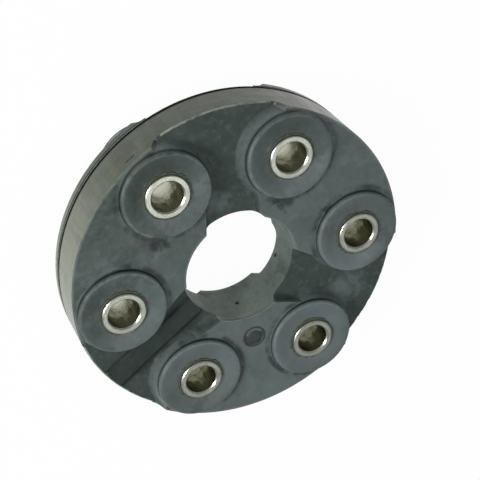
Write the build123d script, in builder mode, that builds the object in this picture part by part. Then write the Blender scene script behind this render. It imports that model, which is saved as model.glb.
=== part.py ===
from build123d import *
import os
from math import cos, radians, sin, tan

# Flexible disc coupling for a shaft: a moulded rubber disc with six steel sleeves on one bolt circle.
# The disc lies flat. +Z points out of the front face and z = 0 is the middle of the thickness.
# Sleeve 1 lies on the +X axis and the others follow at equal angles. Thick sectors lie between
# sleeves 1 and 2, 3 and 4, 5 and 6, and hold two wound cord packs each. The sectors between them
# are crossed by an open channel on both faces and hold one cord pack each.

# Steel sleeves, with their centres on one circle
sleeve_centre_radius = 48.0
sleeve_count = 6
sleeve_length = 30.0
sleeve_bore_radius = 6.05
sleeve_wall = 2.35
bore_chamfer = 0.5
sleeve_edge_chamfer = 0.3

# Rubber disc
rim_margin = 1.1
hole_radius = 22.5
front_sector_at_hole = 12.1
front_sector_at_rim = 11.5
rear_sector_at_hole = 10.9
rear_sector_at_rim = 10.5

# Round boss about each sleeve, with a slightly dished top
boss_top_radius = 16.7
boss_draft_angle = 17.0
boss_edge_round = 1.0
boss_foot_round = 2.5
boss_lip_width = 1.1
boss_dish_depth = 0.6
sleeve_standout = 0.8

# Channels on both faces: straight from the hole to the bosses, then fanned out to the rim
front_floor_at_hole = 7.8
front_floor_at_rim = 7.9
rear_floor_at_hole = 7.0
rear_floor_at_rim = 7.9
channel_width_at_hole = 20.0
channel_width_at_rim = 8.0
channel_wall_angle = 75.0
channel_corner_round = 3.0
fan_throat_width = 11.6
fan_floor_angle = 20.8
fan_wall_spread = 2.4
fan_corner_round = 4.0
front_edge_round = 0.8
rear_edge_round = 1.2

# Low rib along the front channel between sleeves 2 and 3
rib_width = 7.5
rib_height = 0.7
rib_side_run = 0.9

# Groove round the rim where the mould parts, and a short slot in the rim beside sleeve 1
groove_height = -6.4
groove_width = 1.6
groove_depth = 0.8
rim_slot_length = 4.4
rim_slot_width = 1.1
rim_slot_depth = 0.4
rim_slot_height = 7.8

# Wound cord packs and steel collars inside the rubber
pack_wall = 5.0
middle_pack_height = 6.0
outer_pack_height = 6.0
collar_thickness = 0.9
collar_radius = 14.0

# How far cutting tools run past the faces that they cut, and how deep a boss foot sinks into the floor
overrun = 4.0
boss_foot_sink = 0.3

os.makedirs("parts", exist_ok=True)

# Sizes that follow from the driving dimensions
sleeve_half = sleeve_length / 2
sleeve_outer_radius = sleeve_bore_radius + sleeve_wall
boss_half = sleeve_half - sleeve_standout
rim_radius = sleeve_centre_radius + boss_top_radius + rim_margin
pitch = 360 / sleeve_count
sector_count = sleeve_count // 2
sector_angle = pitch / 2
channel_angle = -pitch / 2
boss_slope = tan(radians(boss_draft_angle))
throat_reach = sleeve_centre_radius * cos(radians(pitch / 2))
sleeve_spacing = 2 * sleeve_centre_radius * sin(radians(pitch / 2))
collar_low = middle_pack_height / 2
outer_pack_low = collar_low + collar_thickness
tool_top = boss_half + overrun
fan_edge_angle = 0.9 * fan_floor_angle


# A size that changes evenly from the hole to the rim
def between(reach, at_hole, at_rim):
    return at_hole + (at_rim - at_hole) * (reach - hole_radius) / (rim_radius - hole_radius)


# Cross-section of a channel, open at the top, with rounded corners beside its floor
def draw_section(reach, low, floor_half, wall_run, corner_round):
    top_half = floor_half + (tool_top - low) * wall_run
    with BuildSketch(Plane.YZ.offset(reach)) as section:
        with BuildLine():
            Polyline(
                (-floor_half, low),
                (floor_half, low),
                (top_half, tool_top),
                (-top_half, tool_top),
                close=True,
            )
        make_face()
        fillet(section.vertices().sort_by(Axis.Y)[:2], corner_round)
    return section.sketch


# Straight part of a channel, cut from the hole to the rim
def shape_channel(at_hole, at_rim):
    wall_run = 1 / tan(radians(channel_wall_angle))
    with BuildPart() as channel:
        for reach in (hole_radius - overrun, rim_radius + overrun):
            low = between(reach, at_hole, at_rim)
            half = between(reach, channel_width_at_hole, channel_width_at_rim) / 2
            add(draw_section(reach, low, half, wall_run, channel_corner_round))
        loft(ruled=True)
    return channel.part


# Fan of a channel, which widens from the throat between two bosses to the rim
def shape_fan(at_hole, at_rim, sector_at_rim):
    fan_top_angle = fan_floor_angle + fan_wall_spread
    floor_reach = rim_radius * cos(radians(fan_floor_angle))
    floor_half = rim_radius * sin(radians(fan_floor_angle))
    top_reach = rim_radius * cos(radians(fan_top_angle))
    top_half = rim_radius * sin(radians(fan_top_angle))
    spread = (floor_half - fan_throat_width / 2) / (floor_reach - throat_reach)
    foot_half = fan_throat_width / 2 + spread * (top_reach - throat_reach)
    wall_rise = sector_at_rim - between(top_reach, at_hole, at_rim)
    wall_run = (top_half - foot_half) / wall_rise
    with BuildPart() as fan:
        for reach in (throat_reach, rim_radius + overrun):
            low = between(reach, at_hole, at_rim)
            half = fan_throat_width / 2 + spread * (reach - throat_reach)
            add(draw_section(reach, low, half, wall_run, fan_corner_round))
        loft(ruled=True)
    return fan.part


# Rounding of a channel floor where it meets the rim, as a cutter that follows the rim
def shape_fan_edge(at_rim, edge_round):
    inner = rim_radius - edge_round
    lower = at_rim - edge_round
    with BuildPart() as fan_edge:
        with BuildSketch(Plane.XZ.rotated((0, 0, -fan_edge_angle))):
            with BuildLine():
                RadiusArc((inner, at_rim), (rim_radius, lower), edge_round)
                Polyline(
                    (rim_radius, lower),
                    (rim_radius + overrun, lower),
                    (rim_radius + overrun, tool_top),
                    (inner, tool_top),
                    (inner, at_rim),
                )
            make_face()
        revolve(axis=Axis.Z, revolution_arc=2 * fan_edge_angle)
    return fan_edge.part


# Front half of a boss: a drafted cone with a dished top and a foot that flares into the channels
def shape_boss(at_rim):
    foot_height = at_rim - boss_foot_sink
    foot_radius = boss_top_radius + (boss_half - foot_height) * tan(radians(boss_draft_angle))
    with BuildPart() as boss:
        with BuildSketch(Plane.XZ) as profile:
            with BuildLine():
                Polyline(
                    (0, 0),
                    (foot_radius + boss_foot_round, 0),
                    (foot_radius + boss_foot_round, foot_height),
                    (foot_radius, foot_height),
                    (boss_top_radius, boss_half),
                    (boss_top_radius - boss_lip_width, boss_half),
                    (sleeve_outer_radius, boss_half - boss_dish_depth),
                    (0, boss_half - boss_dish_depth),
                    close=True,
                )
            make_face()
            corners = profile.vertices()
            fillet(corners.sort_by_distance((foot_radius, foot_height))[0], boss_foot_round)
            fillet(profile.vertices().sort_by_distance((boss_top_radius, boss_half))[0], boss_edge_round)
        revolve(axis=Axis.Z)
    return boss.part


front_channel = shape_channel(front_floor_at_hole, front_floor_at_rim)
front_fan = shape_fan(front_floor_at_hole, front_floor_at_rim, front_sector_at_rim)
front_fan_edge = shape_fan_edge(front_floor_at_rim, front_edge_round)
front_boss = shape_boss(front_floor_at_rim)
rear_channel = mirror(shape_channel(rear_floor_at_hole, rear_floor_at_rim), about=Plane.XY)
rear_fan = mirror(shape_fan(rear_floor_at_hole, rear_floor_at_rim, rear_sector_at_rim), about=Plane.XY)
rear_fan_edge = mirror(shape_fan_edge(rear_floor_at_rim, rear_edge_round), about=Plane.XY)
rear_boss = mirror(shape_boss(rear_floor_at_rim), about=Plane.XY)

# Low rib that lies on the channel floor
with BuildPart() as rib:
    for reach in (hole_radius, rim_radius):
        low = between(reach, front_floor_at_hole, front_floor_at_rim)
        half = rib_width / 2
        foot_half = half + rib_side_run
        with BuildSketch(Plane.YZ.offset(reach)):
            with BuildLine():
                Polyline(
                    (-foot_half, low - rib_height),
                    (foot_half, low - rib_height),
                    (foot_half, low),
                    (half, low + rib_height),
                    (-half, low + rib_height),
                    (-foot_half, low),
                    close=True,
                )
            make_face()
    loft(ruled=True)


# One loop of cord wound round two neighbouring sleeves, with its middle on the axis
def wind_cord_pack(height):
    with BuildPart() as loop:
        with BuildSketch():
            SlotCenterToCenter(sleeve_spacing, 2 * (sleeve_outer_radius + pack_wall), rotation=90)
            SlotCenterToCenter(sleeve_spacing, 2 * sleeve_outer_radius, rotation=90, mode=Mode.SUBTRACT)
        extrude(amount=height)
    return loop.part


outer_pack = wind_cord_pack(outer_pack_height)
middle_pack = wind_cord_pack(middle_pack_height)

with BuildPart() as collar:
    with BuildSketch():
        Circle(collar_radius)
        Circle(sleeve_outer_radius, mode=Mode.SUBTRACT)
    extrude(amount=collar_thickness)

with BuildPart() as rubber_body:
    with BuildSketch(Plane.XZ):
        with BuildLine():
            Polyline(
                (hole_radius, -rear_sector_at_hole),
                (hole_radius, front_sector_at_hole),
                (rim_radius, front_sector_at_rim),
                (rim_radius, -rear_sector_at_rim),
                close=True,
            )
        make_face()
    revolve(axis=Axis.Z)
    with PolarLocations(0, sector_count, start_angle=channel_angle):
        add(front_channel, mode=Mode.SUBTRACT)
        add(front_fan, mode=Mode.SUBTRACT)
        add(rear_channel, mode=Mode.SUBTRACT)
        add(rear_fan, mode=Mode.SUBTRACT)
    with PolarLocations(0, 1, start_angle=channel_angle + 2 * pitch):
        add(rib.part)
    with PolarLocations(sleeve_centre_radius, sleeve_count):
        add(front_boss)
        add(rear_boss)
    Cylinder(rim_radius, sleeve_length, mode=Mode.INTERSECT)
    Cylinder(hole_radius, sleeve_length, mode=Mode.SUBTRACT)
    with PolarLocations(0, sector_count, start_angle=channel_angle):
        add(front_fan_edge, mode=Mode.SUBTRACT)
        add(rear_fan_edge, mode=Mode.SUBTRACT)
    with BuildSketch(Plane.XZ):
        groove_mouth = rim_radius + groove_depth
        with BuildLine():
            Polyline(
                (rim_radius - groove_depth, groove_height),
                (groove_mouth, groove_height + groove_width),
                (groove_mouth, groove_height - groove_width),
                close=True,
            )
        make_face()
    revolve(axis=Axis.Z, mode=Mode.SUBTRACT)
    with BuildSketch(Plane.YZ.offset(rim_radius - rim_slot_depth)):
        with Locations((0, rim_slot_height)):
            SlotOverall(rim_slot_length, rim_slot_width)
    extrude(amount=overrun, mode=Mode.SUBTRACT)
    # Seats of the sleeves, the cord packs and the collars
    with PolarLocations(sleeve_centre_radius, sleeve_count):
        Cylinder(sleeve_outer_radius, sleeve_length, mode=Mode.SUBTRACT)
        with Locations((0, 0, collar_low), (0, 0, -collar_low - collar_thickness)):
            add(collar.part, mode=Mode.SUBTRACT)
    with PolarLocations(throat_reach, sector_count, start_angle=sector_angle):
        with Locations((0, 0, outer_pack_low), (0, 0, -outer_pack_low - outer_pack_height)):
            add(outer_pack, mode=Mode.SUBTRACT)
    with PolarLocations(throat_reach, sector_count, start_angle=channel_angle):
        with Locations((0, 0, -middle_pack_height / 2)):
            add(middle_pack, mode=Mode.SUBTRACT)

rubber_body.part.label = "rubber_body"
export_step(rubber_body.part, "parts/rubber_body.step")

with BuildPart() as sleeve:
    with BuildSketch(Plane.XZ):
        with BuildLine():
            Polyline(
                (sleeve_bore_radius, -sleeve_half),
                (sleeve_outer_radius, -sleeve_half),
                (sleeve_outer_radius, sleeve_half),
                (sleeve_bore_radius, sleeve_half),
                close=True,
            )
        make_face()
    revolve(axis=Axis.Z)
    end_edges = sleeve.edges().filter_by(GeomType.CIRCLE).group_by(lambda edge: edge.radius)
    chamfer(end_edges[0], bore_chamfer)
    chamfer(end_edges[-1], sleeve_edge_chamfer)

# Each piece is placed round the axis and written under its own name
for number in range(1, sleeve_count + 1):
    turn = Rot(0, 0, (number - 1) * pitch)
    piece = turn * Pos(sleeve_centre_radius, 0, 0) * sleeve.part
    piece.label = f"sleeve_{number}"
    export_step(piece, f"parts/{piece.label}.step")
    for side, height in (("front", collar_low), ("rear", -collar_low - collar_thickness)):
        piece = turn * Pos(sleeve_centre_radius, 0, height) * collar.part
        piece.label = f"collar_{side}_{number}"
        export_step(piece, f"parts/{piece.label}.step")

for number in range(1, sector_count + 1):
    thick_turn = Rot(0, 0, sector_angle + (number - 1) * 2 * pitch)
    low_turn = Rot(0, 0, channel_angle + number * 2 * pitch)
    for side, height in (("front", outer_pack_low), ("rear", -outer_pack_low - outer_pack_height)):
        piece = thick_turn * Pos(throat_reach, 0, height) * outer_pack
        piece.label = f"cord_pack_{side}_{number}"
        export_step(piece, f"parts/{piece.label}.step")
    piece = low_turn * Pos(throat_reach, 0, -middle_pack_height / 2) * middle_pack
    piece.label = f"cord_pack_middle_{number}"
    export_step(piece, f"parts/{piece.label}.step")
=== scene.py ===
import bmesh
import bpy
import math
import random
from mathutils import Matrix, Vector


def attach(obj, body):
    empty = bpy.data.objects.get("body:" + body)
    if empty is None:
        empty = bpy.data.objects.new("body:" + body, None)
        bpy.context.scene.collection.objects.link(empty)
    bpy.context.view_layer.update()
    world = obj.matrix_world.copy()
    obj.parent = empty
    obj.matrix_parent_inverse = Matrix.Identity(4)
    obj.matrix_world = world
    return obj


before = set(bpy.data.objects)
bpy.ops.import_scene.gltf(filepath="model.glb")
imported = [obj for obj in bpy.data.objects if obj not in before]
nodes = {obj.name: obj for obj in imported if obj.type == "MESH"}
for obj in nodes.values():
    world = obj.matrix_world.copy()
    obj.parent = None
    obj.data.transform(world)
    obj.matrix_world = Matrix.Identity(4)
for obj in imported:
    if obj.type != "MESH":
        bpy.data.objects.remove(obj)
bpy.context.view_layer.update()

scene = bpy.context.scene
print("frame loaded:", len(nodes), "nodes")

# Everything below is in metres. Patterns in the materials are laid out in millimetres.
mm = 0.001
sleeveCount = 6
sleeveCircle = 48.0


# Small helpers for materials
def newMaterial(name):
    material = bpy.data.materials.new(name)
    material.use_nodes = True
    tree = material.node_tree
    tree.nodes.clear()
    output = tree.nodes.new("ShaderNodeOutputMaterial")
    shader = tree.nodes.new("ShaderNodeBsdfPrincipled")
    tree.links.new(shader.outputs["BSDF"], output.inputs["Surface"])
    return material, tree, shader


def feed(tree, node, inputs):
    for name, value in inputs.items():
        if isinstance(value, bpy.types.NodeSocket):
            tree.links.new(value, node.inputs[name])
        else:
            node.inputs[name].default_value = value


def objectMillimetres(tree, centre=(0, 0, 0)):
    place = tree.nodes.new("ShaderNodeTexCoord")
    mapping = tree.nodes.new("ShaderNodeMapping")
    mapping.inputs["Scale"].default_value = (1000, 1000, 1000)
    mapping.inputs["Location"].default_value = (-centre[0], -centre[1], -centre[2])
    tree.links.new(place.outputs["Object"], mapping.inputs["Vector"])
    return mapping.outputs["Vector"], place.outputs["Normal"]


def noise(tree, vector, size, detail=4.0, roughness=0.6, distortion=0.0):
    node = tree.nodes.new("ShaderNodeTexNoise")
    feed(tree, node, {"Vector": vector, "Scale": 1 / size, "Detail": detail})
    feed(tree, node, {"Roughness": roughness, "Distortion": distortion})
    return node.outputs["Fac"]


def spots(tree, vector, size):
    node = tree.nodes.new("ShaderNodeTexVoronoi")
    feed(tree, node, {"Vector": vector, "Scale": 1 / size})
    return node.outputs["Distance"]


def stretch(tree, vector, scale):
    node = tree.nodes.new("ShaderNodeVectorMath")
    node.operation = "MULTIPLY"
    node.inputs[1].default_value = scale
    tree.links.new(vector, node.inputs[0])
    return node.outputs["Vector"]


def sums(tree, operation, first, second=0.0, clamp=False):
    node = tree.nodes.new("ShaderNodeMath")
    node.operation = operation
    node.use_clamp = clamp
    for socket, value in zip(node.inputs, (first, second)):
        if isinstance(value, bpy.types.NodeSocket):
            tree.links.new(value, socket)
        else:
            socket.default_value = value
    return node.outputs["Value"]


def span(tree, value, low, high, lowOut=0.0, highOut=1.0, smooth=True):
    node = tree.nodes.new("ShaderNodeMapRange")
    node.interpolation_type = "SMOOTHSTEP" if smooth else "LINEAR"
    feed(tree, node, {"Value": value, "From Min": low, "From Max": high})
    feed(tree, node, {"To Min": lowOut, "To Max": highOut})
    return node.outputs["Result"]


def blendColour(tree, factor, first, second):
    node = tree.nodes.new("ShaderNodeMix")
    node.data_type = "RGBA"
    sockets = (node.inputs[0], node.inputs[6], node.inputs[7])
    for socket, value in zip(sockets, (factor, first, second)):
        if isinstance(value, bpy.types.NodeSocket):
            tree.links.new(value, socket)
        else:
            socket.default_value = value
    return node.outputs[2]


def bump(tree, height, depth, normal=None):
    node = tree.nodes.new("ShaderNodeBump")
    feed(tree, node, {"Height": height, "Distance": depth * mm, "Strength": 1.0})
    if normal is not None:
        tree.links.new(normal, node.inputs["Normal"])
    return node.outputs["Normal"]


def dress(piece, material):
    if piece.material_slots:
        for slot in piece.material_slots:
            slot.material = material
    else:
        piece.data.materials.append(material)


def distanceFromAxis(tree, vector):
    flat = stretch(tree, vector, (1, 1, 0))
    node = tree.nodes.new("ShaderNodeVectorMath")
    node.operation = "LENGTH"
    tree.links.new(flat, node.inputs[0])
    return node.outputs["Value"]


def splitVector(tree, vector):
    node = tree.nodes.new("ShaderNodeSeparateXYZ")
    tree.links.new(vector, node.inputs["Vector"])
    return node.outputs["X"], node.outputs["Y"], node.outputs["Z"]


def heightAndFacing(tree, vector, normal):
    height = sums(tree, "ABSOLUTE", splitVector(tree, vector)[2])
    flatness = sums(tree, "ABSOLUTE", splitVector(tree, normal)[2])
    return height, flatness


def band(tree, value, low, high, soft):
    rise = span(tree, value, low - soft, low + soft)
    fall = span(tree, value, high - soft, high + soft, 1.0, 0.0)
    return sums(tree, "MULTIPLY", rise, fall)


def both(tree, *masks):
    result = masks[0]
    for mask in masks[1:]:
        result = sums(tree, "MULTIPLY", result, mask)
    return result


# Distance from the axis of whichever sleeve is nearest, by turning every sleeve onto the X axis
def distanceFromSleeve(tree, vector):
    x, y = splitVector(tree, vector)[:2]
    reach = distanceFromAxis(tree, vector)
    pitch = math.tau / sleeveCount
    angle = sums(tree, "ARCTAN2", y, x)
    turn = sums(tree, "MULTIPLY", sums(tree, "ROUND", sums(tree, "DIVIDE", angle, pitch)), pitch)
    aside = sums(tree, "SUBTRACT", angle, turn)
    along = sums(tree, "MULTIPLY", reach, sums(tree, "COSINE", aside))
    along = sums(tree, "SUBTRACT", along, sleeveCircle)
    across = sums(tree, "MULTIPLY", reach, sums(tree, "SINE", aside))
    across = sums(tree, "MULTIPLY", across, across)
    squares = sums(tree, "ADD", sums(tree, "MULTIPLY", along, along), across)
    return sums(tree, "SQRT", squares)


# Moulded rubber: dark and greenish in the channels, dusty grey on the bosses, brownish on the rim, with
# painted shade in its creases, painted highlights on its rounded edges and painted sheen on one side.
# A pair of numbers says where a change starts and where it ends. Two more numbers after it are the
# shares before and after the change.
rubberLook = {
    "channel": (0.034, 0.051, 0.043, 1),
    "rib": (0.014, 0.024, 0.019, 1),
    "sector": (0.054, 0.077, 0.067, 1),
    "bossTop": (0.062, 0.083, 0.076, 1),
    "bossFlank": (0.128, 0.156, 0.152, 1),
    # painted highlights on the rounded edges, the brightest one on the channels' mouths at the rim
    "edge": (0.140, 0.172, 0.158, 1),
    "mouthHighlight": (0.270, 0.325, 0.265, 1),
    # dust, also used for the painted sheen on the faces towards -X
    "dustAndSheen": (0.136, 0.168, 0.168, 1),
    "stain": (0.026, 0.036, 0.033, 1),
    # near black: dark dirt in the pits and patches, and painted shade in the creases
    "dirtAndCreaseShade": (0.008, 0.012, 0.011, 1),
    "scuff": (0.100, 0.108, 0.080, 1),
    "hole": (0.118, 0.146, 0.130, 1),
    "holeDust": (0.270, 0.316, 0.284, 1),
    "rim": (0.052, 0.062, 0.036, 1),
    "rimStreak": (0.096, 0.106, 0.070, 1),
    "rimHighlight": (0.190, 0.204, 0.150, 1),
    "rimCloud": (0.070, 0.092, 0.074, 1),
    "rimShade": (0.006, 0.007, 0.007, 1),
    "gloss": 1.42,
    "topRoughness": 0.42,
    "channelRoughness": 0.60,
    "rimRoughness": 0.27,
    "grooveRoughness": 0.60,
    # Heights above the middle plane that tell the faces apart
    "floorHeights": (10.2, 8.8),
    "sectorHeights": (8.8, 10.2),
    "bossHeights": (12.2, 13.2),
    "flankHeights": (12.2, 11.2),
    "footHeights": (10.2, 12.3),
    "ribHeights": (8.8, 9.4),
    "sectorPatchHeights": (10.4, 12.6),
    "cloudHeights": (8.8, 10.6),
    "sideSheenHeights": (10.2, 12.4),
    "deepHeights": (8.6, 10.6),
    "frontSide": (5.0, 6.0),
    "grooveLevels": (-7.9, -5.1),
    # Distances from the axis of the nearest sleeve
    "scuffReach": (9.2, 10.2),
    "lipReach": (15.8, 16.8),
    "flankInner": (16.3, 17.0),
    "flankOuter": (17.2, 19.8),
    "footReach": (17.2, 19.4),
    "dishReach": (8.4, 15.6),
    # Distances from the axis of the disc
    "holeReach": (22.6, 23.1),
    "outerReach": (47.0, 61.0),
    "rimReach": (64.9, 65.4),
    # Places along X or Y: the ribbed channel, the side where the hole's dust lies, and the sides that get
    # the rim's painted highlight and the faces' painted sheen
    "ribStart": (20.0, 24.0),
    "ribCrease": (3.5, 5.6),
    "ribShade": (3.5, 9.0),
    "holeDustSide": (-6.0, 18.0),
    "rimHighlightSide": (0.0, 44.0),
    "faceSheenSide": (58.0, -45.0),
    # How far a face lies flat, from 0 for upright to 1 for level
    "levelFace": (0.75, 0.95),
    "holeFace": (0.3, 0.7),
    "rimFace": (0.35, 0.8),
    # Sizes of the patterns
    "breakupSize": 2.4,
    "scuffSize": 0.75,
    "creasePatchSize": 7.0,
    "hazeSize": 11.0,
    "cloudSize": 9.0,
    "shadeSize": 14.0,
    "speckSize": 0.9,
    "sideDriftSize": 20.0,
    "streakSize": 3.4,
    "streakStretch": (1, 1, 0.16),
    "roughSize": 5.0,
    "grainSize": 0.7,
    # Levels of the patterns between which the painted highlights, painted shade, painted sheen, wear, dust
    # and stain come in
    "lipWear": (0.30, 0.62, 0.25, 0.9),
    "scuffDots": (0.15, 0.5),
    "pitDots": (0.12, 0.32, 0.8, 0.0),
    "footShadeLevels": (0.38, 0.62, 0.05, 0.75),
    "ribShadeLevels": (0.30, 0.58, 0.35, 0.95),
    "streakLevels": (0.44, 0.74),
    "streakHighlight": (0.25, 0.60, 0.45, 1.0),
    "hazeLevels": (0.45, 0.68, 0.0, 0.8),
    "cloudDust": (0.46, 0.72, 0.0, 0.55),
    "shadeStain": (0.30, 0.46, 0.50, 0.0),
    "speckDust": (0.58, 0.78, 0.0, 0.40),
    "mottleDust": (0.50, 0.75, 0.0, 0.28),
    "mottleStain": (0.50, 0.28, 0.0, 0.35),
    "sideSheenDrift": (0.3, 0.7, 0.6, 1.0),
    # Relief, and the rounding that the light finds on every edge
    "edgeRound": 0.45,
    "dishSwell": 1.0,
    "cloudSwell": 0.45,
    "grainSwell": 0.045,
}


def paintBosses(tree, colour, place, height, nearSleeve):
    look = rubberLook
    onBoss = span(tree, height, *look["bossHeights"])
    flank = span(tree, nearSleeve, *look["flankInner"])
    flank = both(tree, flank, span(tree, nearSleeve, *look["flankOuter"], 1.0, 0.0))
    flank = both(tree, flank, span(tree, height, *look["flankHeights"]))
    colour = blendColour(tree, flank, colour, look["bossFlank"])
    colour = blendColour(tree, onBoss, colour, look["bossTop"])
    breakup = noise(tree, place, look["breakupSize"])
    # painted highlight along the rounded lip of each boss top, broken up by a noise
    lip = both(tree, onBoss, band(tree, nearSleeve, *look["lipReach"], 0.25))
    lip = both(tree, lip, span(tree, breakup, *look["lipWear"]))
    colour = blendColour(tree, lip, colour, look["edge"])

    # Close to the sleeve the rubber is scuffed, with fine dark pits between
    scuffed = both(tree, onBoss, span(tree, nearSleeve, *look["scuffReach"], 1.0, 0.0))
    dots = spots(tree, place, look["scuffSize"])
    lightened = both(tree, scuffed, span(tree, dots, *look["scuffDots"]))
    colour = blendColour(tree, lightened, colour, look["scuff"])
    pits = both(tree, scuffed, span(tree, dots, *look["pitDots"]))
    return blendColour(tree, pits, colour, look["dirtAndCreaseShade"])


# Painted shade in the crease at the foot of each boss and along both sides of the rib, broken up by a noise,
# and a darker tone along the rib
def paintCreases(tree, colour, place, height, flatness, nearSleeve):
    look = rubberLook
    patchiness = noise(tree, place, look["creasePatchSize"])
    # painted shade in the crease where each boss meets the sector
    foot = band(tree, height, *look["footHeights"], 0.5)
    foot = both(tree, foot, band(tree, nearSleeve, *look["footReach"], 0.7))
    foot = both(tree, foot, span(tree, flatness, *look["levelFace"]))
    foot = both(tree, foot, span(tree, patchiness, *look["footShadeLevels"]))
    colour = blendColour(tree, foot, colour, look["dirtAndCreaseShade"])
    x, y, z = splitVector(tree, place)
    aside = sums(tree, "ABSOLUTE", x)
    inValley = span(tree, height, *look["ribHeights"], 1.0, 0.0)
    inValley = both(tree, inValley, span(tree, y, *look["ribStart"]), span(tree, z, *look["frontSide"]))
    top = both(tree, inValley, span(tree, aside, *look["ribShade"], 0.75, 0.0))
    colour = blendColour(tree, top, colour, look["rib"])
    # painted shade along both sides of the rib
    rib = both(tree, band(tree, aside, *look["ribCrease"], 0.6), inValley)
    rib = both(tree, rib, span(tree, patchiness, *look["ribShadeLevels"]))
    return blendColour(tree, rib, colour, look["dirtAndCreaseShade"])


def paintRim(tree, colour, place, onRim, streaks):
    look = rubberLook
    rim = blendColour(tree, span(tree, streaks, *look["streakLevels"]), look["rim"], look["rimStreak"])
    haze = noise(tree, place, look["hazeSize"], roughness=0.55)
    rim = blendColour(tree, span(tree, haze, *look["hazeLevels"]), rim, look["rimCloud"])
    # painted highlight on the rim's +Y side, following the streaks
    y, level = splitVector(tree, place)[1:]
    highlit = span(tree, y, *look["rimHighlightSide"], 0.0, 0.9)
    highlit = both(tree, highlit, span(tree, streaks, *look["streakHighlight"]))
    rim = blendColour(tree, highlit, rim, look["rimHighlight"])
    inGroove = band(tree, level, *look["grooveLevels"], 0.15)
    rim = blendColour(tree, inGroove, rim, look["rimShade"])
    return blendColour(tree, onRim, colour, rim)


# Patches of dust and stain on the front faces, and dark patches of painted shade with dirt in the channels
# and at the feet of the bosses. Each place is X, Y and radius.
patches = {
    "edgeSize": 3.0,
    "channelDust": {
        "tint": "dustAndSheen",
        "strength": 0.55,
        "soft": 4.0,
        "ragged": 2.0,
        "places": ((-46.0, -23.0, 7.0), (27.5, -9.5, 4.5)),
    },
    # painted shade with dirt: dark patches beside the rib and beside the bosses in the channels
    "channelShadeAndDirt": {
        "tint": "dirtAndCreaseShade",
        "strength": 0.60,
        "soft": 2.6,
        "ragged": 2.4,
        "places": (
            (-7.6, 29.6, 2.6),
            (-6.6, 34.0, 2.2),
            (-4.2, 49.4, 2.6),
            (-4.0, 56.0, 2.0),
            (-38.3, -16.0, 2.2),
        ),
    },
    "bossDust": {
        "tint": "dustAndSheen",
        "strength": 0.45,
        "soft": 2.6,
        "ragged": 2.2,
        "places": (
            (13.9, 49.7, 3.8),
            (30.7, 50.2, 2.8),
            (14.8, 35.2, 2.6),
            (-16.3, 50.7, 3.2),
            (-29.8, 33.4, 2.6),
            (-40.9, 9.5, 4.4),
            (-36.1, -33.1, 4.4),
            (40.7, -9.8, 2.8),
            (13.5, -33.2, 2.2),
        ),
    },
    "bossStain": {
        "tint": "stain",
        "strength": 0.50,
        "soft": 2.6,
        "ragged": 2.2,
        "places": (
            (36.8, 12.9, 3.2),
            (18.1, -50.5, 3.0),
            (-34.2, -48.7, 3.0),
            (32.0, 32.7, 2.8),
            (-33.6, 49.8, 3.0),
        ),
    },
    # painted shade with dirt: dark patches at the feet of the bosses on the sectors
    "sectorShadeAndDirt": {
        "tint": "dirtAndCreaseShade",
        "strength": 0.85,
        "soft": 2.2,
        "ragged": 1.6,
        "places": (
            (35.4, 15.5, 2.2),
            (33.0, 13.0, 1.8),
            (9.3, -28.4, 2.4),
            (12.5, -27.0, 1.6),
            (-11.5, -32.8, 1.9),
            (-7.2, -38.5, 1.8),
            (-9.5, 37.0, 1.6),
            (-13.9, 32.8, 1.4),
        ),
    },
}


def paintPatches(tree, colour, place, name, face):
    patch = patches[name]
    x, y, z = splitVector(tree, place)
    ragged = span(tree, noise(tree, place, patches["edgeSize"]), 0.3, 0.7, -patch["ragged"], patch["ragged"])
    front = both(tree, face, span(tree, z, *rubberLook["frontSide"]))
    for centreX, centreY, radius in patch["places"]:
        aside = sums(tree, "POWER", sums(tree, "SUBTRACT", x, centreX), 2.0)
        along = sums(tree, "POWER", sums(tree, "SUBTRACT", y, centreY), 2.0)
        reach = sums(tree, "ADD", sums(tree, "SQRT", sums(tree, "ADD", aside, along)), ragged)
        low, high = radius - patch["soft"], radius + patch["soft"]
        spot = both(tree, span(tree, reach, low, high, patch["strength"], 0.0), front)
        colour = blendColour(tree, spot, colour, rubberLook[patch["tint"]])
    return colour


# Painted highlights on the rounded edges, broken up by a noise: the channels' mouths, the rim's and the
# hole's
edgeHighlight = {
    "mouthFace": (0.25, 0.94),
    "mouthHeights": (6.2, 8.2),
    "mouthReach": (64.5, 64.9),
    "shoulderHeights": (10.95, 12.0),
    "shoulderReach": (64.9, 65.3),
    "brimHeights": (11.3, 12.6),
    "brimReach": (22.9, 23.4),
    "breakupSize": 3.5,
    "highlightLevels": (0.30, 0.60, 0.35, 0.95),
}


def paintEdges(tree, colour, place, height, flatness, away):
    edge = edgeHighlight
    mouth = band(tree, flatness, *edge["mouthFace"], 0.06)
    mouth = both(tree, mouth, band(tree, height, *edge["mouthHeights"], 0.2))
    mouth = both(tree, mouth, span(tree, away, *edge["mouthReach"]))
    shoulder = band(tree, height, *edge["shoulderHeights"], 0.2)
    shoulder = both(tree, shoulder, span(tree, away, *edge["shoulderReach"]))
    brim = band(tree, height, *edge["brimHeights"], 0.3)
    brim = both(tree, brim, span(tree, away, *edge["brimReach"], 1.0, 0.0))
    # painted highlight on the rim's top edge and the hole's edge, and a brighter one on the channels' mouths
    breakup = span(tree, noise(tree, place, edge["breakupSize"]), *edge["highlightLevels"])
    lightened = both(tree, sums(tree, "MAXIMUM", shoulder, brim), breakup)
    colour = blendColour(tree, lightened, colour, rubberLook["edge"])
    return blendColour(tree, both(tree, mouth, breakup), colour, rubberLook["mouthHighlight"])


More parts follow.
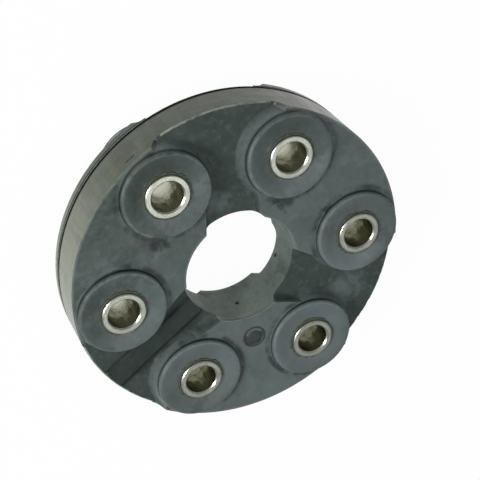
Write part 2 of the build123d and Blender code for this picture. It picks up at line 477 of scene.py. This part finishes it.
# Clouds of dust and stain over the whole moulding, and painted sheen in the dust colour that lightens the
# faces towards -X
def paintClouds(tree, colour, place, height, away):
    look = rubberLook
    cloud = noise(tree, place, look["cloudSize"], 5.0, 0.55, 0.4)
    dusty = span(tree, cloud, *look["cloudDust"])
    dusty = both(tree, dusty, span(tree, height, *look["cloudHeights"], 0.2, 1.0))
    colour = blendColour(tree, dusty, colour, look["dustAndSheen"])
    shade = noise(tree, place, look["shadeSize"], distortion=0.8)
    colour = blendColour(tree, span(tree, shade, *look["shadeStain"]), colour, look["stain"])
    speck = noise(tree, place, look["speckSize"], roughness=0.65)
    colour = blendColour(tree, span(tree, speck, *look["speckDust"]), colour, look["dustAndSheen"])
    mottle = noise(tree, place, look["breakupSize"])
    colour = blendColour(tree, span(tree, mottle, *look["mottleDust"]), colour, look["dustAndSheen"])
    colour = blendColour(tree, span(tree, mottle, *look["mottleStain"]), colour, look["stain"])
    # painted sheen in the dust colour, lighter towards -X, broken up by a noise
    side = span(tree, splitVector(tree, place)[0], *look["faceSheenSide"], smooth=False)
    drift = span(tree, noise(tree, place, look["sideDriftSize"], 3.0, 0.5), *look["sideSheenDrift"])
    side = both(tree, side, span(tree, height, *look["sideSheenHeights"]), drift)
    colour = blendColour(tree, side, colour, look["dustAndSheen"])
    outward = span(tree, away, *look["outerReach"], 0.0, 0.35)
    outward = both(tree, outward, span(tree, height, *look["bossHeights"]))
    return blendColour(tree, outward, colour, look["stain"])


def rubberRoughness(tree, place, height, onRim, streaks):
    look = rubberLook
    top = look["topRoughness"]
    onFaces = span(tree, noise(tree, place, look["roughSize"]), 0.3, 0.7, top - 0.08, top + 0.12)
    deep = span(tree, height, *look["deepHeights"], look["channelRoughness"] - top, 0.0)
    onFaces = sums(tree, "ADD", onFaces, deep)
    smooth = look["rimRoughness"]
    aroundRim = span(tree, streaks, 0.3, 0.7, smooth - 0.04, smooth + 0.06)
    inGroove = band(tree, splitVector(tree, place)[2], *look["grooveLevels"], 0.15)
    inGroove = sums(tree, "MULTIPLY", inGroove, look["grooveRoughness"])
    aroundRim = both(tree, sums(tree, "ADD", aroundRim, inGroove, clamp=True), onRim)
    return sums(tree, "ADD", aroundRim, both(tree, onFaces, sums(tree, "SUBTRACT", 1.0, onRim)))


def rubberRelief(tree, place, height, nearSleeve):
    look = rubberLook
    edge = tree.nodes.new("ShaderNodeBevel")
    edge.samples = 6
    edge.inputs["Radius"].default_value = look["edgeRound"] * mm
    dish = both(tree, span(tree, height, *look["bossHeights"]), span(tree, nearSleeve, *look["dishReach"]))
    relief = bump(tree, dish, look["dishSwell"], edge.outputs["Normal"])
    relief = bump(tree, noise(tree, place, look["cloudSize"], 3.0, 0.5), look["cloudSwell"], relief)
    return bump(tree, noise(tree, place, look["grainSize"], 3.0), look["grainSwell"], relief)


def makeRubber():
    look = rubberLook
    material, tree, shader = newMaterial("mouldedRubber")
    shader.inputs["IOR"].default_value = look["gloss"]
    place, normal = objectMillimetres(tree)
    height, flatness = heightAndFacing(tree, place, normal)
    away = distanceFromAxis(tree, place)
    nearSleeve = distanceFromSleeve(tree, place)

    # The base colour follows the height, from the channels' floors up to the tops of the bosses
    onFloor = span(tree, height, *look["floorHeights"])
    onSector = span(tree, height, *look["sectorHeights"])
    onBoss = span(tree, height, *look["bossHeights"])
    colour = blendColour(tree, onSector, look["channel"], look["sector"])
    colour = paintPatches(tree, colour, place, "channelDust", onFloor)
    colour = paintPatches(tree, colour, place, "channelShadeAndDirt", onFloor)
    colour = paintBosses(tree, colour, place, height, nearSleeve)
    inHole = both(
        tree,
        span(tree, away, *look["holeReach"], 1.0, 0.0),
        span(tree, flatness, *look["holeFace"], 1.0, 0.0),
    )
    holeSide = span(tree, splitVector(tree, place)[1], *look["holeDustSide"])
    holeColour = blendColour(tree, holeSide, look["hole"], look["holeDust"])
    colour = blendColour(tree, inHole, colour, holeColour)

    # Dust and stain lie over it, with painted sheen on one side, and painted shade with dirt at the feet of
    # the bosses and in the creases
    colour = paintClouds(tree, colour, place, height, away)
    colour = paintPatches(tree, colour, place, "bossDust", onBoss)
    colour = paintPatches(tree, colour, place, "bossStain", onBoss)
    colour = paintPatches(tree, colour, place, "sectorShadeAndDirt", band(tree, height, *look["sectorPatchHeights"], 0.3))
    colour = paintCreases(tree, colour, place, height, flatness, nearSleeve)

    # The rim is the cylinder itself, smooth and streaked along the way the mould opens
    onRim = both(
        tree,
        span(tree, away, *look["rimReach"]),
        span(tree, flatness, *look["rimFace"], 1.0, 0.0),
    )
    streaks = noise(tree, stretch(tree, place, look["streakStretch"]), look["streakSize"], roughness=0.5)
    colour = paintRim(tree, colour, place, onRim, streaks)
    colour = paintEdges(tree, colour, place, height, flatness, away)
    tree.links.new(colour, shader.inputs["Base Color"])
    tree.links.new(rubberRoughness(tree, place, height, onRim, streaks), shader.inputs["Roughness"])
    tree.links.new(rubberRelief(tree, place, height, nearSleeve), shader.inputs["Normal"])
    return material


# Turned steel, with rings cut round each sleeve's own axis
steelLook = {
    "bright": (0.60, 0.62, 0.54, 1),
    "dull": (0.44, 0.46, 0.38, 1),
    "boreShaded": (0.13, 0.13, 0.085, 1),
    "boreLit": (0.56, 0.56, 0.45, 1),
    "boreReach": (6.1, 6.3),
    "boreFace": (0.2, 0.5),
    "endFace": (0.4, 0.8),
    "boreShadeDepth": (3.5, 9.5),
    "boreShadeRagged": 3.0,
    "roughness": 0.30,
    "boreRoughness": 0.20,
    "ringSpacing": 0.30,
    "ringSwell": 0.02,
    "cloudSize": 3.0,
}


# Fine turned rings: a noise along one measure alone
def turnedRings(tree, measure):
    rings = tree.nodes.new("ShaderNodeTexNoise")
    rings.noise_dimensions = "1D"
    feed(tree, rings, {"W": measure, "Scale": 1 / steelLook["ringSpacing"], "Detail": 4.0, "Roughness": 0.7})
    return rings.outputs["Fac"]


def makeSleeveSteel(number):
    look = steelLook
    material, tree, shader = newMaterial(f"turnedSteel{number}")
    turn = math.radians((number - 1) * 360 / sleeveCount)
    centre = (sleeveCircle * math.cos(turn), sleeveCircle * math.sin(turn), 0)
    place, normal = objectMillimetres(tree, centre)
    height, flatness = heightAndFacing(tree, place, normal)
    away = distanceFromAxis(tree, place)
    shader.inputs["Metallic"].default_value = 1.0
    onEnd = span(tree, flatness, *look["endFace"])
    across = both(tree, turnedRings(tree, away), onEnd)
    along = both(tree, turnedRings(tree, height), sums(tree, "SUBTRACT", 1.0, onEnd))
    grain = sums(tree, "ADD", across, along)
    cloud = noise(tree, place, look["cloudSize"])
    colour = blendColour(tree, span(tree, cloud, 0.35, 0.65), look["bright"], look["dull"])
    colour = blendColour(tree, span(tree, grain, 0.35, 0.75, 0.0, 0.5), colour, look["bright"])

    # The bore is painted bright in its middle and dark towards both ends, painted reflection and painted
    # shade with a ragged border
    inBore = both(
        tree,
        span(tree, away, *look["boreReach"], 1.0, 0.0),
        span(tree, flatness, *look["boreFace"], 1.0, 0.0),
    )
    ragged = span(tree, cloud, 0.3, 0.7, -look["boreShadeRagged"], look["boreShadeRagged"])
    shaded = span(tree, sums(tree, "ADD", height, ragged), *look["boreShadeDepth"])
    boreColour = blendColour(tree, shaded, look["boreLit"], look["boreShaded"])
    colour = blendColour(tree, inBore, colour, boreColour)
    tree.links.new(colour, shader.inputs["Base Color"])
    roughness = span(tree, grain, 0.3, 0.7, look["roughness"] - 0.06, look["roughness"] + 0.12)
    smoother = sums(tree, "MULTIPLY", inBore, look["roughness"] - look["boreRoughness"])
    roughness = sums(tree, "SUBTRACT", roughness, smoother)
    tree.links.new(roughness, shader.inputs["Roughness"])
    tree.links.new(bump(tree, grain, look["ringSwell"]), shader.inputs["Normal"])
    return material


# Materials of the pieces inside the rubber
innerLook = {
    "cordDark": (0.52, 0.46, 0.35, 1),
    "cordLight": (0.72, 0.66, 0.52, 1),
    "cordStain": (0.30, 0.27, 0.22, 1),
    "cordRoughness": 0.8,
    "strandScale": 0.7,
    "strandWander": 1.2,
    "strandSwell": 0.2,
    "stainSize": 4.0,
    "collarDark": (0.34, 0.34, 0.33, 1),
    "collarLight": (0.56, 0.55, 0.52, 1),
    "collarRoughness": (0.35, 0.55),
    "collarCloudSize": 2.5,
    "collarGrainSize": 0.5,
    "collarSwell": 0.03,
}


def makeCord():
    look = innerLook
    material, tree, shader = newMaterial("woundCord")
    place = objectMillimetres(tree)[0]
    strands = tree.nodes.new("ShaderNodeTexWave")
    strands.wave_type = "BANDS"
    strands.bands_direction = "Z"
    feed(tree, strands, {"Vector": place, "Scale": look["strandScale"], "Detail": 2.0})
    feed(tree, strands, {"Distortion": look["strandWander"]})
    cloud = noise(tree, place, look["stainSize"])
    colour = blendColour(tree, strands.outputs["Fac"], look["cordDark"], look["cordLight"])
    colour = blendColour(tree, span(tree, cloud, 0.4, 0.7, 0.0, 0.4), colour, look["cordStain"])
    tree.links.new(colour, shader.inputs["Base Color"])
    shader.inputs["Roughness"].default_value = look["cordRoughness"]
    tree.links.new(bump(tree, strands.outputs["Fac"], look["strandSwell"]), shader.inputs["Normal"])
    return material


def makeCollarSteel():
    look = innerLook
    material, tree, shader = newMaterial("stampedCollar")
    place = objectMillimetres(tree)[0]
    cloud = noise(tree, place, look["collarCloudSize"], 5.0)
    colour = blendColour(tree, cloud, look["collarDark"], look["collarLight"])
    tree.links.new(colour, shader.inputs["Base Color"])
    shader.inputs["Metallic"].default_value = 1.0
    tree.links.new(span(tree, cloud, 0.3, 0.7, *look["collarRoughness"]), shader.inputs["Roughness"])
    grain = noise(tree, place, look["collarGrainSize"], 3.0, 0.5)
    tree.links.new(bump(tree, grain, look["collarSwell"]), shader.inputs["Normal"])
    return material


dress(nodes["rubber_body"], makeRubber())
for number in range(1, sleeveCount + 1):
    dress(nodes[f"sleeve_{number}"], makeSleeveSteel(number))
cord = makeCord()
collarSteel = makeCollarSteel()
for name, node in nodes.items():
    if name.startswith("cord_pack"):
        dress(node, cord)
    if name.startswith("collar"):
        dress(node, collarSteel)
print("materials on the frame's nodes")

# Small moulded details follow: torn flash, vent stubs and a plain round mark, then a near-black strip of
# painted shade in the groove
detailLook = {
    "darker": 0.55,
    "cloudSize": 1.3,
    "grainSize": 0.5,
    "grainSwell": 0.05,
    "weldGap": 0.000005,
    "smoothAngle": 40,
}


def makeDetailRubber(name, colour, roughness):
    look = detailLook
    material, tree, shader = newMaterial(name)
    place = objectMillimetres(tree)[0]
    cloud = noise(tree, place, look["cloudSize"])
    darker = tuple(look["darker"] * share for share in colour[:3]) + (1,)
    mixed = blendColour(tree, span(tree, cloud, 0.35, 0.65), darker, colour)
    tree.links.new(mixed, shader.inputs["Base Color"])
    tree.links.new(span(tree, cloud, 0.3, 0.7, roughness - 0.1, roughness + 0.1), shader.inputs["Roughness"])
    grain = noise(tree, place, look["grainSize"], 3.0, 0.5)
    tree.links.new(bump(tree, grain, look["grainSwell"]), shader.inputs["Normal"])
    return material


def finishDetail(piece, name, material):
    piece.name = name
    bpy.ops.object.select_all(action="DESELECT")
    piece.select_set(True)
    bpy.context.view_layer.objects.active = piece
    bpy.ops.object.transform_apply(location=True, rotation=True, scale=True)
    bpy.ops.object.mode_set(mode="EDIT")
    bpy.ops.mesh.select_all(action="SELECT")
    bpy.ops.mesh.remove_doubles(threshold=detailLook["weldGap"])
    bpy.ops.mesh.normals_make_consistent(inside=False)
    bpy.ops.object.mode_set(mode="OBJECT")
    bpy.ops.object.shade_smooth_by_angle(angle=math.radians(detailLook["smoothAngle"]))
    dress(piece, material)
    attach(piece, "root")


# One thin ring of flash, its outer edge torn unevenly, made round the axis and copied to every sleeve
flashRing = {
    "colour": (0.078, 0.088, 0.066, 1),
    "roughness": 0.6,
    "inner": 8.42,
    "outer": 9.3,
    "low": 13.5,
    "high": 14.05,
    "tear": 0.45,
    "edge": 0.12,
    "steps": 60,
}


def modelFlash():
    flash = flashRing
    tears = random.Random(41)
    bpy.ops.object.select_all(action="DESELECT")
    bpy.ops.mesh.primitive_circle_add(
        vertices=flash["steps"],
        radius=flash["inner"] * mm,
        location=(0, 0, flash["low"] * mm),
    )
    ring = bpy.context.object
    bpy.ops.object.transform_apply(location=True)
    bpy.ops.object.mode_set(mode="EDIT")
    bpy.ops.mesh.select_all(action="SELECT")
    bpy.ops.mesh.extrude_edges_move(TRANSFORM_OT_translate={"value": (0, 0, 0)})
    wide = flash["outer"] / flash["inner"]
    bpy.ops.transform.resize(value=(wide, wide, 1), center_override=(0, 0, 0))
    bpy.ops.object.mode_set(mode="OBJECT")
    halfway = (flash["inner"] + flash["outer"]) / 2 * mm
    for vertex in ring.data.vertices:
        if vertex.co.xy.length > halfway:
            vertex.co.xy *= 1 + tears.uniform(-flash["tear"], flash["tear"]) / flash["outer"]
    thick = ring.modifiers.new("thick", "SOLIDIFY")
    thick.thickness = (flash["high"] - flash["low"]) * mm
    thick.offset = 1.0
    soft = ring.modifiers.new("soft", "BEVEL")
    soft.width = flash["edge"] * mm
    soft.segments = 1
    soft.limit_method = "ANGLE"
    bpy.ops.object.modifier_apply(modifier="thick")
    bpy.ops.object.modifier_apply(modifier="soft")
    lowest = min(vertex.co.z for vertex in ring.data.vertices)
    for vertex in ring.data.vertices:
        vertex.co.z += flash["low"] * mm - lowest
    return ring


def copyTurned(piece, turn, shift, flip):
    copy = piece.copy()
    copy.data = piece.data.copy()
    scene.collection.objects.link(copy)
    place = Matrix.Rotation(turn, 4, "Z") @ Matrix.Translation(shift)
    if flip:
        place = Matrix.Rotation(math.pi, 4, "X") @ place
    copy.data.transform(place)
    return copy


def makeFlash():
    material = makeDetailRubber("tornFlash", flashRing["colour"], flashRing["roughness"])
    first = modelFlash()
    for side, way in (("front", 1), ("rear", -1)):
        for number in range(1, sleeveCount + 1):
            turn = way * (number - 1) * math.tau / sleeveCount
            ring = copyTurned(first, turn, (sleeveCircle * mm, 0, 0), way < 0)
            finishDetail(ring, f"flash_{side}_{number}", material)
    bpy.data.objects.remove(first)


# Low stubs in the hole where the mould was vented, each at an angle and a height
ventStub = {
    "colour": (0.022, 0.026, 0.024, 1),
    "roughness": 0.6,
    "radius": 0.75,
    "stand": 0.35,
    "places": ((148.0, 1.3), (212.0, -4.5)),
    "holeRadius": 22.5,
    "inset": 0.22,
    "rise": 0.12,
    "dip": 0.10,
    "sides": 20,
}


def makeVents():
    vent = ventStub
    material = makeDetailRubber("ventStubRubber", vent["colour"], vent["roughness"])
    for number, (angle, level) in enumerate(vent["places"], 1):
        bpy.ops.object.select_all(action="DESELECT")
        bpy.ops.mesh.primitive_cylinder_add(
            vertices=vent["sides"],
            radius=vent["radius"] * mm,
            depth=2 * vent["stand"] * mm,
            location=(vent["holeRadius"] * mm, 0, 0),
            rotation=(0, -math.pi / 2, 0),
        )
        stub = bpy.context.object
        bpy.ops.object.transform_apply(location=True, rotation=True)
        bpy.ops.object.mode_set(mode="EDIT")
        mesh = bmesh.from_edit_mesh(stub.data)
        for face in mesh.faces:
            face.select = face.normal.x < -0.9
        bmesh.update_edit_mesh(stub.data)
        for shift in (-vent["rise"], vent["dip"]):
            bpy.ops.mesh.inset(thickness=vent["inset"] * mm)
            bpy.ops.transform.translate(value=(shift * mm, 0, 0))
        bpy.ops.object.mode_set(mode="OBJECT")
        place = Matrix.Translation((0, 0, level * mm)) @ Matrix.Rotation(math.radians(angle), 4, "Z")
        stub.data.transform(place)
        finishDetail(stub, f"vent_stub_{number}", material)


# A plain round mark with raised rings. Each of its steps is an inset and the rise that follows it.
roundMark = {
    "colour": (0.038, 0.050, 0.047, 1),
    "roughness": 0.5,
    "place": (-28.6, 15.6),
    "radius": 4.7,
    "low": 11.7,
    "high": 12.18,
    "steps": ((0.70, 0), (0.15, -0.2), (0.9, 0), (0.12, 0.15), (0.45, 0), (0.12, 0.15), (0.7, -0.12)),
    "edge": 0.08,
    "sides": 48,
}


def makeMark():
    look = roundMark
    material = makeDetailRubber("markRubber", look["colour"], look["roughness"])
    across, along = look["place"]
    bpy.ops.object.select_all(action="DESELECT")
    bpy.ops.mesh.primitive_cylinder_add(
        vertices=look["sides"],
        radius=look["radius"] * mm,
        depth=(look["high"] - look["low"]) * mm,
        location=(across * mm, along * mm, (look["low"] + look["high"]) / 2 * mm),
    )
    mark = bpy.context.object
    bpy.ops.object.transform_apply(location=True)
    bpy.ops.object.mode_set(mode="EDIT")
    mesh = bmesh.from_edit_mesh(mark.data)
    for face in mesh.faces:
        face.select = face.normal.z > 0.9
    bmesh.update_edit_mesh(mark.data)
    for wall, rise in look["steps"]:
        bpy.ops.mesh.inset(thickness=wall * mm)
        bpy.ops.transform.translate(value=(0, 0, rise * mm))
    bpy.ops.object.mode_set(mode="OBJECT")
    soft = mark.modifiers.new("soft", "BEVEL")
    soft.width = look["edge"] * mm
    soft.segments = 2
    soft.limit_method = "ANGLE"
    bpy.ops.object.modifier_apply(modifier="soft")
    finishDetail(mark, "round_mark", material)


# A near-black strip set in the groove where the halves of the mould meet: painted shade that darkens the
# groove
partingShadeStrip = {
    "dark": (0.004, 0.005, 0.005, 1),
    "light": (0.012, 0.014, 0.013, 1),
    "roughness": 0.9,
    "gloss": 1.2,
    "radius": 65.72,
    "low": -7.2,
    "high": -5.6,
    "edgeRise": 0.3,
    "edgeRun": 0.2,
    "wall": 0.5,
    "steps": 240,
    "cloudSize": 1.0,
    "swell": 0.1,
}


def makePartingShade():
    look = partingShadeStrip
    material, tree, shader = newMaterial("partingShade")
    place = objectMillimetres(tree)[0]
    cloud = noise(tree, place, look["cloudSize"], 3.0)
    colour = blendColour(tree, span(tree, cloud, 0.35, 0.70), look["dark"], look["light"])
    tree.links.new(colour, shader.inputs["Base Color"])
    shader.inputs["Roughness"].default_value = look["roughness"]
    shader.inputs["IOR"].default_value = look["gloss"]
    tree.links.new(bump(tree, cloud, look["swell"]), shader.inputs["Normal"])
    bpy.ops.object.select_all(action="DESELECT")
    bpy.ops.mesh.primitive_circle_add(
        vertices=look["steps"],
        radius=(look["radius"] - look["edgeRun"]) * mm,
        location=(0, 0, look["low"] * mm),
    )
    strip = bpy.context.object
    bpy.ops.object.transform_apply(location=True)
    bpy.ops.object.mode_set(mode="EDIT")
    bpy.ops.mesh.select_all(action="SELECT")
    edge = look["edgeRise"]
    middle = look["high"] - look["low"] - 2 * edge
    wider = look["radius"] / (look["radius"] - look["edgeRun"])
    for rise, grow in ((edge, wider), (middle, 1.0), (edge, 1 / wider)):
        bpy.ops.mesh.extrude_edges_move(TRANSFORM_OT_translate={"value": (0, 0, rise * mm)})
        bpy.ops.transform.resize(value=(grow, grow, 1), center_override=(0, 0, 0))
    bpy.ops.object.mode_set(mode="OBJECT")
    wall = strip.modifiers.new("wall", "SOLIDIFY")
    wall.thickness = look["wall"] * mm
    wall.offset = -1.0
    bpy.ops.object.modifier_apply(modifier="wall")
    finishDetail(strip, "parting_shade_band", material)


makeFlash()
makeVents()
makeMark()
makePartingShade()
print("flash, vent stubs, round mark and parting strip")

# Floor, lights and world
studio = {
    "floorSize": 6.0,
    "floorHeight": -15.02,
    "floorWhite": 0.90,
    "floorGlow": 0.97,
    "worldStrength": 0.26,
    "topPlace": (-0.12, 0.02, 0.85),
    "topPower": 2.6,
    "topSize": 0.70,
    "keyPlace": (0.58, 0.56, 0.50),
    "keyPower": 5.6,
    "keySize": 0.28,
    "worldColour": (0.97, 0.99, 1.0, 1),
}


def makeFloor():
    bpy.ops.object.select_all(action="DESELECT")
    bpy.ops.mesh.primitive_plane_add(size=studio["floorSize"], location=(0, 0, studio["floorHeight"] * mm))
    floor = bpy.context.object
    floor.name = "studioFloor"
    bpy.ops.object.transform_apply(location=True)
    material = bpy.data.materials.new("paleFloor")
    material.use_nodes = True
    tree = material.node_tree
    tree.nodes.clear()
    output = tree.nodes.new("ShaderNodeOutputMaterial")
    paint = tree.nodes.new("ShaderNodeBsdfDiffuse")
    paint.inputs["Color"].default_value = (studio["floorWhite"],) * 3 + (1,)
    glow = tree.nodes.new("ShaderNodeEmission")
    glow.inputs["Color"].default_value = (1, 1, 1, 1)
    glow.inputs["Strength"].default_value = 1.0
    path = tree.nodes.new("ShaderNodeLightPath")
    seen = sums(tree, "ADD", path.outputs["Is Camera Ray"], path.outputs["Is Glossy Ray"])
    seen = sums(tree, "ADD", seen, path.outputs["Is Transmission Ray"], clamp=True)
    share = sums(tree, "MULTIPLY", seen, studio["floorGlow"])
    mix = tree.nodes.new("ShaderNodeMixShader")
    tree.links.new(share, mix.inputs["Fac"])
    tree.links.new(paint.outputs["BSDF"], mix.inputs[1])
    tree.links.new(glow.outputs["Emission"], mix.inputs[2])
    tree.links.new(mix.outputs["Shader"], output.inputs["Surface"])
    floor.data.materials.append(material)


def addLamp(name, place, power, size):
    bpy.ops.object.select_all(action="DESELECT")
    bpy.ops.object.light_add(type="AREA", location=place)
    lamp = bpy.context.object
    lamp.name = name
    lamp.data.energy = power
    lamp.data.size = size
    aim = -Vector(place)
    lamp.rotation_euler = aim.to_track_quat("-Z", "Y").to_euler()


def makeWorld():
    world = bpy.data.worlds.new("paleRoom")
    scene.world = world
    world.use_nodes = True
    tree = world.node_tree
    tree.nodes.clear()
    output = tree.nodes.new("ShaderNodeOutputWorld")
    light = tree.nodes.new("ShaderNodeBackground")
    light.inputs["Color"].default_value = studio["worldColour"]
    light.inputs["Strength"].default_value = studio["worldStrength"]
    white = tree.nodes.new("ShaderNodeBackground")
    white.inputs["Color"].default_value = (1, 1, 1, 1)
    white.inputs["Strength"].default_value = 1.0
    path = tree.nodes.new("ShaderNodeLightPath")
    mix = tree.nodes.new("ShaderNodeMixShader")
    tree.links.new(path.outputs["Is Camera Ray"], mix.inputs["Fac"])
    tree.links.new(light.outputs["Background"], mix.inputs[1])
    tree.links.new(white.outputs["Background"], mix.inputs[2])
    tree.links.new(mix.outputs["Shader"], output.inputs["Surface"])


makeFloor()
makeWorld()
for lamp in ("top", "key"):
    addLamp(lamp + "Lamp", studio[lamp + "Place"], studio[lamp + "Power"], studio[lamp + "Size"])
print("floor, lamps and world")

# Camera, fitted to the rings of the six sleeves
photoCamera = {
    "place": (0.274595, -0.026840, 0.361782),
    "right": (-0.56454173, -0.73021909, 0.38480218),
    "up": (0.56511105, -0.68173957, -0.4646296),
    "back": (0.60161627, -0.04484684, 0.79752531),
    "sensorWidth": 36.0,
    "lens": 88.84,
    "clipStart": 0.01,
}


def makeCamera():
    bpy.ops.object.camera_add()
    camera = bpy.context.object
    camera.name = "photoCamera"
    axes = Matrix((photoCamera["right"], photoCamera["up"], photoCamera["back"]))
    camera.matrix_world = Matrix.Translation(photoCamera["place"]) @ axes.transposed().to_4x4()
    camera.data.sensor_width = photoCamera["sensorWidth"]
    camera.data.lens = photoCamera["lens"]
    camera.data.clip_start = photoCamera["clipStart"]
    scene.camera = camera


makeCamera()
scene.view_settings.view_transform = "Standard"
print("camera set")
